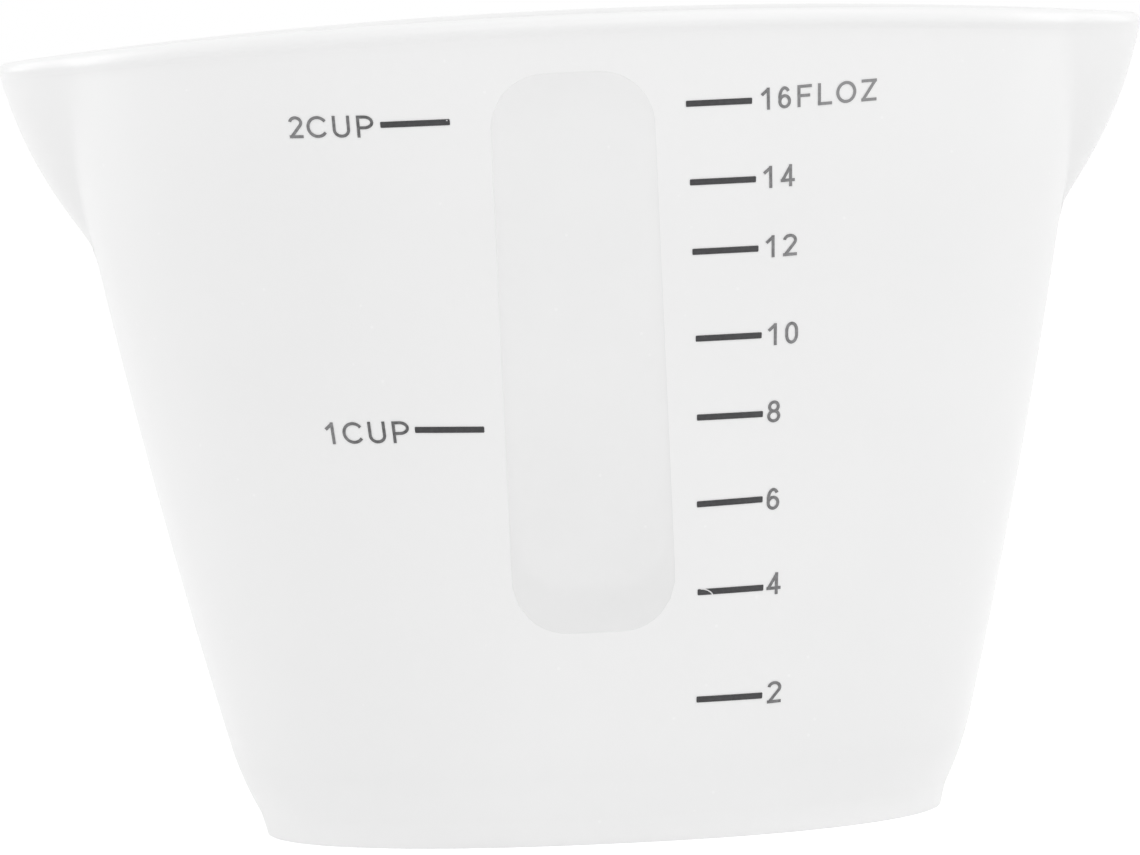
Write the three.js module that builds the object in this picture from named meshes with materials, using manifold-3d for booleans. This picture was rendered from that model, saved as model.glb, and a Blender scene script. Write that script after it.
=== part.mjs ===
// Two-spout silicone measuring jug: a moulded oval cup, two clear level windows and a printed scale.
// Millimetres, +Z up, +X towards the right-hand spout, -Y towards the printed front.
import * as THREE from 'three';
import { mergeVertices } from 'three/addons/utils/BufferGeometryUtils.js';
import Module from 'manifold-3d';

const wasm = await Module();
wasm.setup();

// Cup: lengths run along X and depths along Y, both on the outside of the wall
const BASE_LENGTH = 85;
const BASE_DEPTH = 65;
const RIM_LENGTH = 126.5;
const RIM_DEPTH = 75;
const LENGTH_BOW = 1.4;
const DEPTH_BOW = 0.8;
const PLAN_POWER = 2.2;
const TIP_HEIGHT = 95.8;
const RIM_ARCH = 3.1;
const WALL = 2;
const FLOOR = 3;
const FLOOR_FILLET = 6;

// Foot: the wall tucks in above a short band that stands on the table
const FOOT_HEIGHT = 2.6;
const FOOT_INSET = 1.1;
const FOOT_BLEND = 8.5;
const FOOT_EDGE_RADIUS = 0.5;

// Rim bead, which thins out over the lips of the spouts
const BEAD_PROUD = 0.6;
const LIP_PROUD = 0.2;

// Spouts: width and reach are measured at the rim
const SPOUT_HEIGHT = 22.9;
const SPOUT_REACH = 6.8;
const SPOUT_WIDTH = 28.6;
const SPOUT_TAPER = 0.7;
const SPOUT_ROOT_WIDTH = 5;

// Windows in the middle of the front and back walls
const WINDOW_WIDTH = 19.4;
const WINDOW_BOTTOM = 25.6;
const WINDOW_BELOW_RIM = 6.8;
const WINDOW_CORNER = 6.5;
const WINDOW_CLEARANCE = 0.3;

// Printed scale. The full mark is the first of the ounce marks. The others stand at the levels where the
// inside holds their share of its volume, but for the drift of the print. The near end of a bar keeps a
// margin to the window. Its text keeps a gap to the bar and is raised from the bar's middle. Tilts are in
// degrees.
const FULL_MARK_BELOW_TIP = 8.15;
const OUNCES_IN_CUP = 8;
const INK_GAP = 0.3;
const INK_THICKNESS = 0.2;
const BAR_THICKNESS = 0.72;
const OUNCE_BAR_LENGTH = 7.8;
const CUP_BAR_LENGTH = 8.2;
const LETTER_HEIGHT = 2.6;
const LETTER_STROKE = 0.36;
const LETTER_GAP = 0.62;
const GAPS_AFTER = { 1: 1, 2: 0.47, 6: 0.77, C: 0.8, F: 0.72, L: 0.5, U: 0.82 };
const OUNCE_MARKS = [
  { ounces: 16, text: '16FLOZ', drift: 0.1, margin: 3.72, tilt: 0, gap: 1.17, raise: 0.12, textTilt: 2 },
  { ounces: 14, text: '14', drift: -0.54, margin: 3.78, tilt: 0, gap: 0.99, raise: 0.15, textTilt: 2 },
  { ounces: 12, text: '12', drift: 0.3, margin: 3.72, tilt: 0, gap: 0.98, raise: 0.15, textTilt: 2 },
  { ounces: 10, text: '10', drift: -0.54, margin: 3.66, tilt: 0, gap: 0.86, raise: 0.01, textTilt: 2 },
  { ounces: 8, text: '8', drift: 0, margin: 3.4, tilt: 0, gap: 0.56, raise: 0.22, textTilt: 1 },
  { ounces: 6, text: '6', drift: 0.24, margin: 2.94, tilt: 1.2, gap: 0.52, raise: 0.05, textTilt: 1 },
  { ounces: 4, text: '4', drift: 0.92, margin: 2.58, tilt: 0.7, gap: 0.42, raise: 0.43, textTilt: 2 },
  { ounces: 2, text: '2', drift: 0.2, margin: 1.9, tilt: 0, gap: 0.64, raise: 0.28, textTilt: 2 },
];
const CUP_MARKS = [
  { cups: 2, text: '2CUP', drift: -0.78, margin: 4.8, tilt: 0, gap: 0.83, raise: 0.15, textTilt: -1.6 },
  { cups: 1, text: '1CUP', drift: -0.14, margin: 2.42, tilt: -1.8, gap: 0.7, raise: 0, textTilt: -0.5 },
];

// Fineness of the mesh
const SPOUT_COLUMNS = 5;
const WALL_COLUMNS = 11;
const EDGE_STEPS = 3;
const FOOT_ROWS = 4;
const WALL_ROWS = 6;
const SPOUT_ROWS = 8;
const BEAD_STEPS = 8;
const FILLET_STEPS = 3;
const CORNER_STEPS = 6;
const BAR_STEPS = 8;
const LETTER_ARC_STEP = Math.PI / 9;
const LEVEL_SLICES = 400;
const MERGE_DISTANCE = 1e-4;

const { clamp, degToRad, lerp } = THREE.MathUtils;
const SPOUT_ROOT = TIP_HEIGHT - SPOUT_HEIGHT;
const WINDOW_TOP = TIP_HEIGHT + RIM_ARCH - WINDOW_BELOW_RIM;
const FULL_LEVEL = TIP_HEIGHT - FULL_MARK_BELOW_TIP;
const QUADRANT = SPOUT_COLUMNS + WALL_COLUMNS;
const jug = new THREE.Group();

// Solids and meshes

function toSolid(geometry) {
  const bare = geometry.clone();
  bare.deleteAttribute('normal');
  bare.deleteAttribute('uv');
  const merged = mergeVertices(bare, MERGE_DISTANCE);
  const vertProperties = new Float32Array(merged.attributes.position.array);
  const triVerts = new Uint32Array(merged.index.array);
  return new wasm.Manifold(new wasm.Mesh({ numProp: 3, vertProperties, triVerts }));
}

function toGeometry(solid) {
  const { vertProperties, triVerts } = solid.getMesh();
  const geometry = new THREE.BufferGeometry();
  geometry.setAttribute('position', new THREE.Float32BufferAttribute(vertProperties, 3));
  geometry.setIndex(Array.from(triVerts));
  return geometry;
}

function addPiece(name, geometry, color, roughness) {
  geometry.computeVertexNormals();
  const mesh = new THREE.Mesh(geometry, new THREE.MeshStandardMaterial({ color, roughness, metalness: 0 }));
  mesh.name = name;
  jug.add(mesh);
}

// Wall of the cup at a height

function footInset(z) {
  const fade = clamp(1 - (z - FOOT_HEIGHT) / FOOT_BLEND, 0, 1);
  return FOOT_INSET * fade * fade;
}

function bowedHalf(base, rim, bow, z) {
  const rise = z / TIP_HEIGHT;
  return lerp(base, rim, rise) / 2 + 4 * bow * rise * (1 - rise) - footInset(z);
}

const halfLength = (z) => bowedHalf(BASE_LENGTH, RIM_LENGTH, LENGTH_BOW, z);
const halfDepth = (z) => bowedHalf(BASE_DEPTH, RIM_DEPTH, DEPTH_BOW, z);
const ovalPartner = (share) => Math.max(0, 1 - share ** PLAN_POWER) ** (1 / PLAN_POWER);
const wallDepthAt = (x, z) => halfDepth(z) * ovalPartner(Math.abs(x) / halfLength(z));

// Spouts grow out of the two ends of the oval

const spoutRise = (z) => clamp((z - SPOUT_ROOT) / SPOUT_HEIGHT, 0, 1);
const spoutHalfWidth = (z) => (SPOUT_WIDTH / 2) * spoutRise(z) ** SPOUT_TAPER;

// Share of the full reach at a distance y from the keel: 1 on the keel, 0 from the crease outwards
function spoutShare(y, z) {
  const half = spoutHalfWidth(z);
  return half > 0 ? Math.max(0, 1 - (y / half) ** 2) : 0;
}

const spoutReach = (z) => SPOUT_REACH * spoutRise(z) * (2 - spoutRise(z));

// A quarter of the outline runs from the keel of a spout (column 0) to the middle of a long side
function quarterPoint(column, z) {
  const depth = halfDepth(z);
  const crease = Math.max(spoutHalfWidth(z), SPOUT_ROOT_WIDTH / 2);
  let y = (crease * column) / SPOUT_COLUMNS;
  if (column > SPOUT_COLUMNS) {
    const start = Math.asin((crease / depth) ** (PLAN_POWER / 2));
    const angle = lerp(start, Math.PI / 2, (column - SPOUT_COLUMNS) / WALL_COLUMNS);
    y = depth * Math.sin(angle) ** (2 / PLAN_POWER);
  }
  const x = halfLength(z) * ovalPartner(y / depth) + spoutReach(z) * spoutShare(y, z);
  return new THREE.Vector2(x, y);
}

function quarterNormal(column, z) {
  if (column === 0) return new THREE.Vector2(1, 0);
  if (column === QUADRANT) return new THREE.Vector2(0, 1);
  const along = quarterPoint(column + 1, z).sub(quarterPoint(column - 1, z)).normalize();
  return new THREE.Vector2(along.y, -along.x);
}

function columnsRound() {
  const columns = [];
  for (const [sx, sy, falling] of [[1, 1, false], [-1, 1, true], [-1, -1, false], [1, -1, true]]) {
    for (let step = 0; step < QUADRANT; step++) {
      columns.push({ column: falling ? QUADRANT - step : step, sx, sy });
    }
  }
  return columns;
}

const COLUMNS = columnsRound();

// Rim: it dips towards the tips, and carries a round bead

function rimHeight(column) {
  const share = quarterPoint(column, TIP_HEIGHT).x / quarterPoint(0, TIP_HEIGHT).x;
  return TIP_HEIGHT + RIM_ARCH * (1 - share * share);
}

function beadProud(column) {
  return lerp(BEAD_PROUD, LIP_PROUD, spoutShare(quarterPoint(column, TIP_HEIGHT).y, TIP_HEIGHT));
}

const beadRadius = (column) => (WALL + beadProud(column)) / 2;
const beadCentre = (column) => rimHeight(column) - beadRadius(column);
const beadStart = (column) => -Math.acos((beadRadius(column) - beadProud(column)) / beadRadius(column));

function beadRow(step) {
  return (column) => {
    const radius = beadRadius(column);
    const angle = lerp(beadStart(column), Math.PI, step / BEAD_STEPS);
    const offset = beadProud(column) - radius + radius * Math.cos(angle);
    const z = beadCentre(column) + radius * Math.sin(angle);
    return { section: beadCentre(column), offset, z };
  };
}

// The cup is a stack of closed rings, from under the base, up the outside and down the inside

function arcRow(step, steps, radius, floor, inward) {
  const angle = (Math.PI / 2) * (step / steps);
  const offset = -inward - radius * (1 - Math.sin(angle));
  const z = floor + radius * (1 - Math.cos(angle));
  return () => ({ section: floor + radius, offset, z });
}

function wallRow(from, to, share, offset) {
  return (column) => {
    const z = lerp(from, to(column), share);
    return { section: z, offset, z };
  };
}

function wallRows(foot, footRows, offset, top) {
  const rows = [];
  const straightStart = Math.max(FOOT_HEIGHT + FOOT_BLEND, foot);
  for (let row = 0; row < footRows; row++) {
    rows.push(wallRow(foot, () => straightStart, row / footRows, offset));
  }
  for (let row = 0; row < WALL_ROWS; row++) {
    rows.push(wallRow(straightStart, () => SPOUT_ROOT, row / WALL_ROWS, offset));
  }
  for (let row = 0; row < SPOUT_ROWS; row++) {
    rows.push(wallRow(SPOUT_ROOT, top, row / SPOUT_ROWS, offset));
  }
  return rows;
}

function cupRows() {
  const beadFoot = (column) => beadCentre(column) + beadRadius(column) * Math.sin(beadStart(column));
  const rows = [];
  for (let step = 0; step <= EDGE_STEPS; step++) {
    rows.push(arcRow(step, EDGE_STEPS, FOOT_EDGE_RADIUS, 0, 0));
  }
  rows.push(...wallRows(FOOT_HEIGHT, FOOT_ROWS, 0, beadFoot));
  for (let step = 0; step <= BEAD_STEPS; step++) rows.push(beadRow(step));
  const inside = wallRows(FLOOR + FLOOR_FILLET, 1, -WALL, beadCentre).reverse();
  rows.push(...inside.slice(0, -1));
  for (let step = FILLET_STEPS; step >= 0; step--) {
    rows.push(arcRow(step, FILLET_STEPS, FLOOR_FILLET, FLOOR, WALL));
  }
  return rows;
}

function ringPoints(place) {
  return COLUMNS.map(({ column, sx, sy }) => {
    const { section, offset, z } = place(column);
    const point = quarterPoint(column, section).addScaledVector(quarterNormal(column, section), offset);
    return new THREE.Vector3(sx * point.x, sy * point.y, z);
  });
}

function cupGeometry() {
  const rings = cupRows().map(ringPoints);
  const around = COLUMNS.length;
  const points = [new THREE.Vector3(0, 0, 0), ...rings.flat(), new THREE.Vector3(0, 0, FLOOR)];
  const vertex = (ring, column) => 1 + ring * around + (column % around);
  const triangles = [];
  for (let column = 0; column < around; column++) {
    triangles.push(0, vertex(0, column + 1), vertex(0, column));
    for (let ring = 0; ring < rings.length - 1; ring++) {
      const [a, b] = [vertex(ring, column), vertex(ring, column + 1)];
      const [c, d] = [vertex(ring + 1, column + 1), vertex(ring + 1, column)];
      triangles.push(a, b, c, a, c, d);
    }
    const last = rings.length - 1;
    triangles.push(points.length - 1, vertex(last, column), vertex(last, column + 1));
  }
  const geometry = new THREE.BufferGeometry().setFromPoints(points);
  geometry.setIndex(triangles);
  return geometry;
}

// Liquid level: the height at which the inside holds a number of ounces

function insideArea(z) {
  const short = Math.max(0, FLOOR + FLOOR_FILLET - z);
  const corner = FLOOR_FILLET - Math.sqrt(FLOOR_FILLET ** 2 - short ** 2);
  return THREE.ShapeUtils.area(ringPoints(() => ({ section: z + short, offset: -WALL - corner, z })));
}

// Volumes below the tops of thin slices, from the floor up to the full mark
function slicedVolumes() {
  const thickness = (FULL_LEVEL - FLOOR) / LEVEL_SLICES;
  const volumes = [0];
  for (let slice = 0; slice < LEVEL_SLICES; slice++) {
    volumes.push(volumes.at(-1) + insideArea(FLOOR + (slice + 0.5) * thickness) * thickness);
  }
  return volumes;
}

const VOLUMES = slicedVolumes();
const FULL_VOLUME = VOLUMES.at(-1);
const CUBIC_MM_IN_ML = 1000;
console.log(`Full mark at ${(FULL_VOLUME / CUBIC_MM_IN_ML).toFixed(0)} ml; 16 US fluid ounces are 473 ml`);

function levelOf(ounces) {
  const volume = (FULL_VOLUME * ounces) / OUNCE_MARKS[0].ounces;
  const reached = VOLUMES.findIndex((held) => held >= volume);
  const upper = reached < 0 ? LEVEL_SLICES : Math.max(1, reached);
  const share = (volume - VOLUMES[upper - 1]) / (VOLUMES[upper] - VOLUMES[upper - 1]);
  return lerp(FLOOR, FULL_LEVEL, (upper - 1 + share) / LEVEL_SLICES);
}

// Windows: an upright opening with round corners, cut along Y

function windowShape(inset) {
  const right = WINDOW_WIDTH / 2 - inset;
  const [low, high] = [WINDOW_BOTTOM + inset, WINDOW_TOP - inset];
  const radius = WINDOW_CORNER - inset;
  const shape = new THREE.Shape();
  shape.absarc(right - radius, low + radius, radius, -Math.PI / 2, 0);
  shape.absarc(right - radius, high - radius, radius, 0, Math.PI / 2);
  shape.absarc(radius - right, high - radius, radius, Math.PI / 2, Math.PI);
  shape.absarc(radius - right, low + radius, radius, Math.PI, 1.5 * Math.PI);
  return shape;
}

// The prism starts on the XZ plane and runs towards the front (-1) or the back (+1)
function windowPrism(inset, side) {
  const settings = { depth: RIM_DEPTH, bevelEnabled: false, curveSegments: CORNER_STEPS };
  const geometry = new THREE.ExtrudeGeometry(windowShape(inset), settings);
  geometry.rotateX(Math.PI / 2);
  if (side > 0) geometry.translate(0, RIM_DEPTH, 0);
  return toSolid(geometry);
}

function addCup() {
  const cup = toSolid(cupGeometry());
  const opened = cup.subtract(windowPrism(0, -1)).subtract(windowPrism(0, 1));
  addPiece('jug_body', toGeometry(opened), 0xf0f0f0, 0.5);
  for (const [name, side] of [['front_window', -1], ['back_window', 1]]) {
    const strip = cup.intersect(windowPrism(WINDOW_CLEARANCE, side));
    addPiece(name, toGeometry(strip), 0xe6e7e7, 0.35);
  }
}

// Printed scale: flat ink, laid on the front wall straight along Y. Upright strokes follow the wall's taper.

function printOnWall(geometry, x0, z0, tilt) {
  const position = geometry.attributes.position;
  const turn = degToRad(tilt);
  for (let index = 0; index < position.count; index++) {
    const [flatX, flatZ, proud] = [position.getX(index), position.getY(index), position.getZ(index)];
    const z = z0 + flatX * Math.sin(turn) + flatZ * Math.cos(turn);
    const taper = halfLength(z) / halfLength(z0);
    const x = (x0 + flatX * Math.cos(turn) - flatZ * Math.sin(turn)) * taper;
    position.setXYZ(index, x, -wallDepthAt(x, z) - INK_GAP - proud, z);
  }
  return geometry;
}

function barGeometry(length) {
  const box = new THREE.BoxGeometry(length, BAR_THICKNESS, INK_THICKNESS, BAR_STEPS, 1, 1);
  return toGeometry(toSolid(box.translate(0, 0, INK_THICKNESS / 2)));
}

// Letters are strokes of one width inside a box, here in shares of the letter's height
const HALF_STROKE = LETTER_STROKE / LETTER_HEIGHT / 2;
const LETTER_WIDTHS = {
  0: 0.59, 1: 0.37, 2: 0.64, 4: 0.65, 6: 0.58, 8: 0.6,
  C: 0.88, F: 0.66, L: 0.65, O: 0.92, P: 0.77, U: 0.79, Z: 0.7,
};

function arcPath(cx, cy, rx, ry, fromDegrees, toDegrees) {
  const [from, to] = [degToRad(fromDegrees), degToRad(toDegrees)];
  const steps = Math.ceil(Math.abs(to - from) / LETTER_ARC_STEP);
  const path = [];
  for (let step = 0; step <= steps; step++) {
    const angle = lerp(from, to, step / steps);
    path.push(new THREE.Vector2(cx + rx * Math.cos(angle), cy + ry * Math.sin(angle)));
  }
  return path;
}

const linePath = (x0, y0, x1, y1) => [new THREE.Vector2(x0, y0), new THREE.Vector2(x1, y1)];
const ringPath = (cx, cy, rx, ry) => arcPath(cx, cy, rx, ry, 0, 360).slice(0, -1);

// Each letter gives its open strokes and its closed rings
function letterStrokes(letter) {
  const h = HALF_STROKE;
  const width = LETTER_WIDTHS[letter];
  const [mid, right, top] = [width / 2, width - h, 1 - h];
  const stem = linePath(h, 0, h, 1);
  const waist = 0.52;
  const bend = 0.33;
  const letters = {
    0: () => {
      const over = arcPath(mid, top - bend, mid - h, bend, 0, 180);
      const under = arcPath(mid, h + bend, mid - h, bend, 180, 360);
      return { rings: [[...over, ...under]] };
    },
    1: () => ({ lines: [linePath(right, 0, right, 1), linePath(0, 0.68, right, top)] }),
    2: () => ({
      lines: [
        arcPath(mid, 0.71, mid - h, top - 0.71, 170, -35),
        linePath(mid + (mid - h) * 0.87, 0.6, h, h / 2),
        linePath(0, h, width, h),
      ],
    }),
    4: () => ({
      lines: [
        linePath(0.7 * width, 0, 0.7 * width, 1),
        linePath(0, 0.29, width, 0.29),
        linePath(h, 0.27, 0.7 * width, top),
      ],
    }),
    6: () => ({
      lines: [arcPath(mid, 0.5, mid - h, top - 0.5, 40, 180), linePath(h, 0.54, h, 0.3)],
      rings: [ringPath(mid, 0.32, mid - h, 0.32 - h)],
    }),
    8: () => ({
      rings: [
        ringPath(mid, (waist + h) / 2, mid - h, (waist - h) / 2),
        ringPath(mid, (waist + top) / 2, mid - 1.5 * h, (top - waist) / 2),
      ],
    }),
    C: () => ({ lines: [arcPath(0.5, 0.5, top - 0.5, top - 0.5, 36, 324)] }),
    F: () => ({ lines: [stem, linePath(h, top, width, top), linePath(h, 0.51, 0.88 * width, 0.51)] }),
    L: () => ({ lines: [stem, linePath(h, h, width, h)] }),
    O: () => ({ rings: [ringPath(mid, 0.5, mid - h, top - 0.5)] }),
    P: () => ({
      lines: [
        stem,
        linePath(h, top, mid, top),
        linePath(h, 0.44, mid, 0.44),
        arcPath(mid - h / 2, (top + 0.44) / 2, mid - h / 2, (top - 0.44) / 2, -90, 90),
      ],
    }),
    U: () => ({
      lines: [
        linePath(h, 0.32, h, 1),
        arcPath(mid, 0.36, mid - h, 0.36 - h, 180, 360),
        linePath(right, 0.32, right, 1),
      ],
    }),
    Z: () => ({
      lines: [linePath(0, top, width, top), linePath(h, h, right, top), linePath(0, h, width, h)],
    }),
  };
  return letters[letter]();
}

// The two sides of a stroke, half its width away from the path
function strokeSides(path, closed) {
  const count = path.length;
  const sides = path.map((point, index) => {
    const before = path[closed ? (index + count - 1) % count : Math.max(index - 1, 0)];
    const after = path[closed ? (index + 1) % count : Math.min(index + 1, count - 1)];
    const along = after.clone().sub(before).normalize();
    const across = new THREE.Vector2(-along.y, along.x).multiplyScalar(HALF_STROKE);
    return { left: point.clone().add(across), right: point.clone().sub(across) };
  });
  return { left: sides.map((side) => side.left), right: sides.map((side) => side.right) };
}

function strokeSolid(path, closed) {
  const { left, right } = strokeSides(path, closed);
  const shape = new THREE.Shape(closed ? right : [...right, ...left.reverse()]);
  if (closed) shape.holes.push(new THREE.Path(left));
  const settings = { depth: INK_THICKNESS / LETTER_HEIGHT, bevelEnabled: false };
  return toSolid(new THREE.ExtrudeGeometry(shape, settings));
}

function letterGeometry(letter) {
  const { lines = [], rings = [] } = letterStrokes(letter);
  const open = lines.map((path) => strokeSolid(path, false));
  const closed = rings.map((path) => strokeSolid(path, true));
  const joined = [...open, ...closed].reduce((whole, next) => whole.add(next));
  return toGeometry(joined).scale(LETTER_HEIGHT, LETTER_HEIGHT, LETTER_HEIGHT);
}

function textLayout(text) {
  const starts = [];
  let x = 0;
  for (const letter of text) {
    starts.push(x);
    x += LETTER_WIDTHS[letter] * LETTER_HEIGHT + (GAPS_AFTER[letter] ?? LETTER_GAP);
  }
  const last = text.at(-1);
  return { starts, width: starts.at(-1) + LETTER_WIDTHS[last] * LETTER_HEIGHT };
}

const INK = 0x404043;
const INK_ROUGHNESS = 0.6;

function addText(label, text, x0, z0, tilt) {
  const { starts } = textLayout(text);
  for (const [index, letter] of [...text].entries()) {
    const flat = letterGeometry(letter).translate(starts[index], -LETTER_HEIGHT / 2, 0);
    addPiece(`${label}_${index + 1}_${letter}`, printOnWall(flat, x0, z0, tilt), INK, INK_ROUGHNESS);
  }
}

function addScale() {
  const windowEdge = WINDOW_WIDTH / 2;
  for (const { ounces, text, drift, margin, tilt, gap, raise, textTilt } of OUNCE_MARKS) {
    const height = levelOf(ounces) + drift;
    const start = windowEdge + margin;
    const centre = start + OUNCE_BAR_LENGTH / 2;
    const bar = printOnWall(barGeometry(OUNCE_BAR_LENGTH), centre, height, tilt);
    addPiece(`bar_${ounces}_oz`, bar, INK, INK_ROUGHNESS);
    const textStart = start + OUNCE_BAR_LENGTH + gap;
    addText(`figure_${ounces}_oz`, text, textStart, height + raise, textTilt);
  }
  for (const { cups, text, drift, margin, tilt, gap, raise, textTilt } of CUP_MARKS) {
    const height = levelOf(cups * OUNCES_IN_CUP) + drift;
    const end = -windowEdge - margin;
    const centre = end - CUP_BAR_LENGTH / 2;
    const bar = printOnWall(barGeometry(CUP_BAR_LENGTH), centre, height, tilt);
    addPiece(`bar_${cups}_cup`, bar, INK, INK_ROUGHNESS);
    const textStart = end - CUP_BAR_LENGTH - gap - textLayout(text).width;
    addText(`figure_${cups}_cup`, text, textStart, height + raise, textTilt);
  }
}

addCup();
addScale();

export default jug;
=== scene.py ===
# %% [markdown]
# # A silicone measuring jug
# The real object is a soft oval cup, moulded in white silicone, with a pouring spout at each end and a
# clear window in each long wall, so that the level of the liquid shows beside a printed scale. This
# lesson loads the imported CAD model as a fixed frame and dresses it: finer meshes, finishes, light and a
# camera. Lengths of the jug are in millimetres, as a maker would write them, and become metres in the
# meshes.

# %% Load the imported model
import math

import bmesh
import bpy
from mathutils import Matrix, Vector
from mathutils.geometry import delaunay_2d_cdt


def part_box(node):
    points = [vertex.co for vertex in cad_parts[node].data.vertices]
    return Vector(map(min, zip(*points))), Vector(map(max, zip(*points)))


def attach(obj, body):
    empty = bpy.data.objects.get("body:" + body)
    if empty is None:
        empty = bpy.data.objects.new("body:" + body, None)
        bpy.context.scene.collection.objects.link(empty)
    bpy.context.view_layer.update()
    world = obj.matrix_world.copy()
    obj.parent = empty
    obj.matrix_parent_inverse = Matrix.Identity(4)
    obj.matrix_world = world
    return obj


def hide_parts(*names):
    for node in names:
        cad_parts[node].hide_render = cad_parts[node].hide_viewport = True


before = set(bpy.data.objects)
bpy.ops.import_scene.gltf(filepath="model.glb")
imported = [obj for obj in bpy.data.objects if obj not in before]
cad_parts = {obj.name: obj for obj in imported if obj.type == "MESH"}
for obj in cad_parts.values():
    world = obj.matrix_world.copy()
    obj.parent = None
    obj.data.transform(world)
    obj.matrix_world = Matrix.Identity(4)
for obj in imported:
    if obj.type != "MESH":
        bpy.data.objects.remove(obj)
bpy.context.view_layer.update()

MM = 0.001

# %% [markdown]
# ## The camera
# A product picture is taken from far away with a long lens, so that the two ends of the jug look alike
# and the walls hardly converge. The camera stands a little above the rim, so the back rim shows as a thin
# sliver, and it is rolled by a few degrees, which tips the jug in the picture. Aiming a camera by a
# direction and then rolling it about its own axis is easier to read than three Euler angles.

# %% Place the camera
CAMERA_PLACE = Vector((-0.1, -973.7, 106.7)) * MM
CAMERA_AIM = Vector((-2.04, 0, 48.0)) * MM
CAMERA_ROLL = math.radians(2.6)
LENS_LENGTH, SENSOR_WIDTH = 251, 36

camera_data = bpy.data.cameras.new("product_camera")
camera_data.sensor_width = SENSOR_WIDTH
camera_data.lens = LENS_LENGTH
camera = bpy.data.objects.new("product_camera", camera_data)
bpy.context.scene.collection.objects.link(camera)
aimed = (CAMERA_AIM - CAMERA_PLACE).to_track_quat("-Z", "Y").to_matrix().to_4x4()
camera.matrix_world = Matrix.Translation(CAMERA_PLACE) @ aimed @ Matrix.Rotation(-CAMERA_ROLL, 4, "Z")
bpy.context.scene.camera = camera
print("camera", round((CAMERA_AIM - CAMERA_PLACE).length, 3), "m from its aim")

# %% [markdown]
# ## The wall as a formula
# A moulded cup has no flat faces to extrude, so its wall is written as a formula and sampled where
# vertices are needed. Every level section is a superellipse, an oval with slightly squarer shoulders than
# an ellipse. Its half length and half depth grow with the height, with a slight bow, and tuck in just
# above the foot.

# %% Sizes of the cup and its level sections
BASE_LENGTH, BASE_DEPTH = 85, 65
RIM_LENGTH, RIM_DEPTH = 126.5, 75
LENGTH_BOW, DEPTH_BOW = 1.4, 0.8
OVAL_POWER = 2.2
TIP_HEIGHT = 95.8
FOOT_HEIGHT, FOOT_INSET, FOOT_BLEND = 2.6, 1.1, 8.5


def mix(start, end, share):
    return start + (end - start) * share


def clamp(value, low, high):
    return max(low, min(high, value))


def bowed_half(base, rim, bow, z):
    rise = z / TIP_HEIGHT
    tuck = FOOT_INSET * clamp(1 - (z - FOOT_HEIGHT) / FOOT_BLEND, 0, 1) ** 2
    return mix(base, rim, rise) / 2 + 4 * bow * rise * (1 - rise) - tuck


def half_length(z):
    return bowed_half(BASE_LENGTH, RIM_LENGTH, LENGTH_BOW, z)


def half_depth(z):
    return bowed_half(BASE_DEPTH, RIM_DEPTH, DEPTH_BOW, z)


def oval_partner(share):
    return max(0, 1 - share**OVAL_POWER) ** (1 / OVAL_POWER)


def oval_normal(x, y, z):
    slope_x = (x / half_length(z)) ** (OVAL_POWER - 1) / half_length(z)
    slope_y = (y / half_depth(z)) ** (OVAL_POWER - 1) / half_depth(z)
    size = math.hypot(slope_x, slope_y)
    return slope_x / size, slope_y / size


print("wall halves at the tips, mm:", half_length(TIP_HEIGHT), half_depth(TIP_HEIGHT))

# %% [markdown]
# ## The spouts
# On the real jug each spout is a beak pressed out of the end of the oval. Seen from above it is a
# parabola that starts at a soft crease on either side. Reach and width grow from nothing at the spout's
# root to their full size at the rim. A sharp maximum would give a hard crease, so the parabola fades out
# through a soft one. Sculpting could press a beak out too, but a formula keeps both ends alike.

# %% How far the spout reaches at a height and a distance from its keel
SPOUT_HEIGHT, SPOUT_REACH, SPOUT_WIDTH = 22.9, 6.78, 28.6
SPOUT_TAPER = 0.7
SPOUT_ROOT = TIP_HEIGHT - SPOUT_HEIGHT
CREASE_SOFTNESS = 0.25
ROOT_SOFTNESS = 0.05


def soft_positive(value, softness):
    return (value + math.sqrt(value * value + softness * softness)) / 2


def spout_rise(z):
    return min(1, soft_positive((z - SPOUT_ROOT) / SPOUT_HEIGHT, ROOT_SOFTNESS))


def spout_half_width(z):
    return SPOUT_WIDTH / 2 * spout_rise(z) ** SPOUT_TAPER


def spout_share(y, half_width):
    return soft_positive(1 - (y / half_width) ** 2, CREASE_SOFTNESS) / soft_positive(1, CREASE_SOFTNESS)


def spout_reach(z):
    return SPOUT_REACH * spout_rise(z) * (2 - spout_rise(z))


print("spout root at", SPOUT_ROOT, "mm; reach at the rim", round(spout_reach(TIP_HEIGHT), 2), "mm")

# %% [markdown]
# ## Columns round the wall
# The mesh is a grid of columns and rows. A quarter of the outline has three groups of columns: the spout,
# from its keel to its crease; the rounded end of the wall; and a panel around the window, where the
# columns stand at even steps of x so that the window can be fitted between them. The inner skin is the
# outer one, moved in by the thickness of the wall. A Solidify modifier would do that too, but the foot
# and the rim need sections of their own.

# %% One quarter of the outline, outside and inside
WALL = 2
SPOUT_COLUMNS, END_COLUMNS, PANEL_COLUMNS = 14, 36, 8
QUARTER = SPOUT_COLUMNS + END_COLUMNS + PANEL_COLUMNS
PANEL_HALF = 13.4
SPOUT_ROOT_HALF = 2.5
CROWDING = 1.5


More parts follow.
